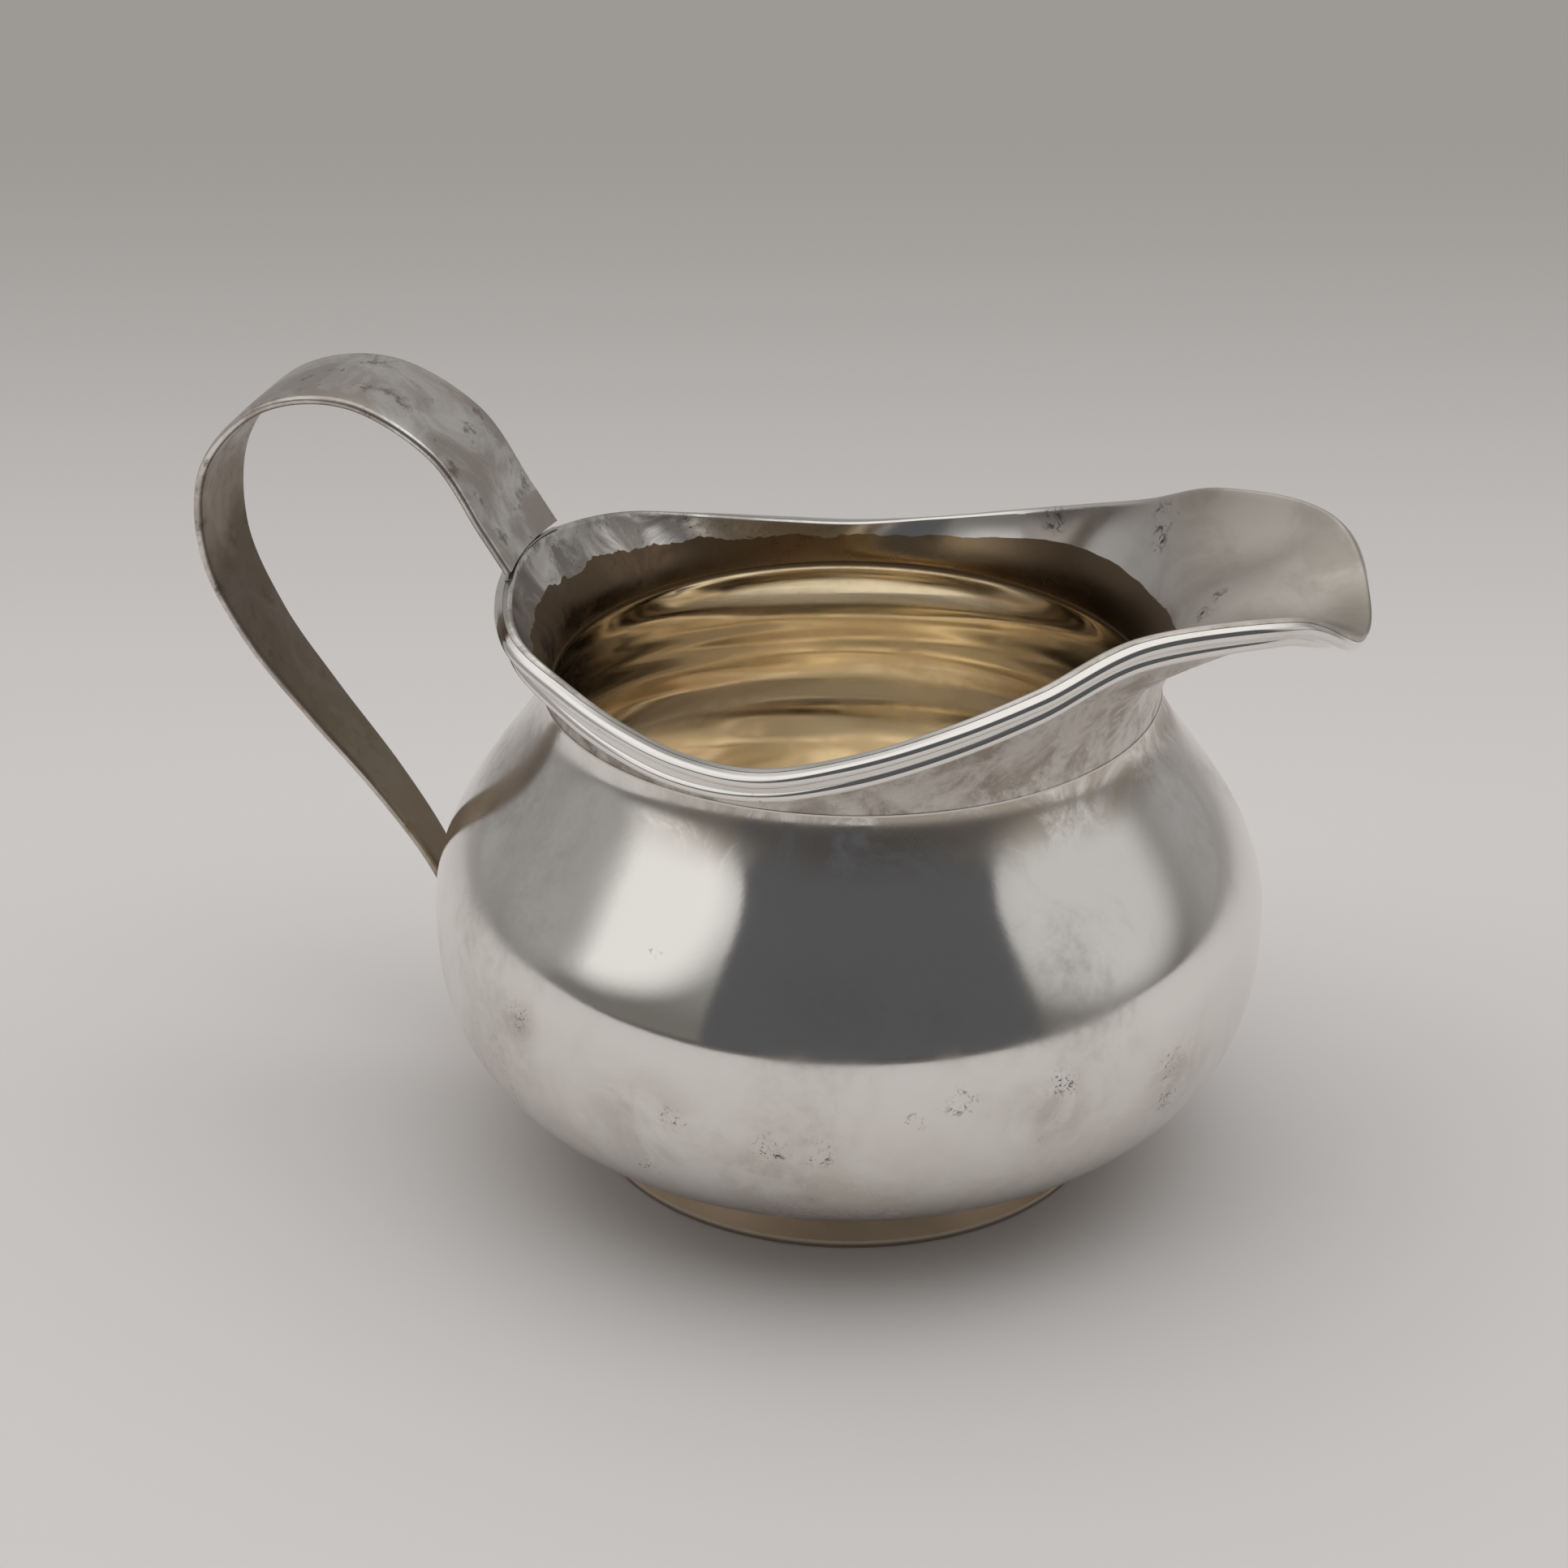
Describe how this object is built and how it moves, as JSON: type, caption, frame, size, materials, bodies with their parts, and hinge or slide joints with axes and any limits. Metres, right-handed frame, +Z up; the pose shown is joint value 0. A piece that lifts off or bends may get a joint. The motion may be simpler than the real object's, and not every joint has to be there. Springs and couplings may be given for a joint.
{
  "type": "cream jug",
  "caption": "Squat bellied silver cream jug with a flared pouring lip, a gilt inside, a high tapering strap handle and a low ring foot.",
  "frame": {"origin": "centre of the foot ring, on the surface that the jug stands on", "axes": "+Z up along the bowl's axis, +X towards the pouring spout, the handle on -X"},
  "size_m": [0.1137, 0.08, 0.073],
  "materials": {
    "silver_sheet": "worn polish with light tarnish",
    "handle_silver": "worn polish, blotched with tarnish",
    "foot_silver": "warm, dull tarnish",
    "gilding": "polished gilding, browned towards its edge",
    "solder": "smooth silver solder"
  },
  "bodies": {
    "root": {"bowl": "silver_sheet", "gilt_lining": "gilding", "neck_solder": "solder", "pouring_lip": "silver_sheet", "rim_wire": "silver_sheet", "foot_ring": "foot_silver", "foot_solder": "solder", "handle": "handle_silver", "handle_top_solder": "solder", "handle_root_solder": "solder"}
  },
  "joints": []
}
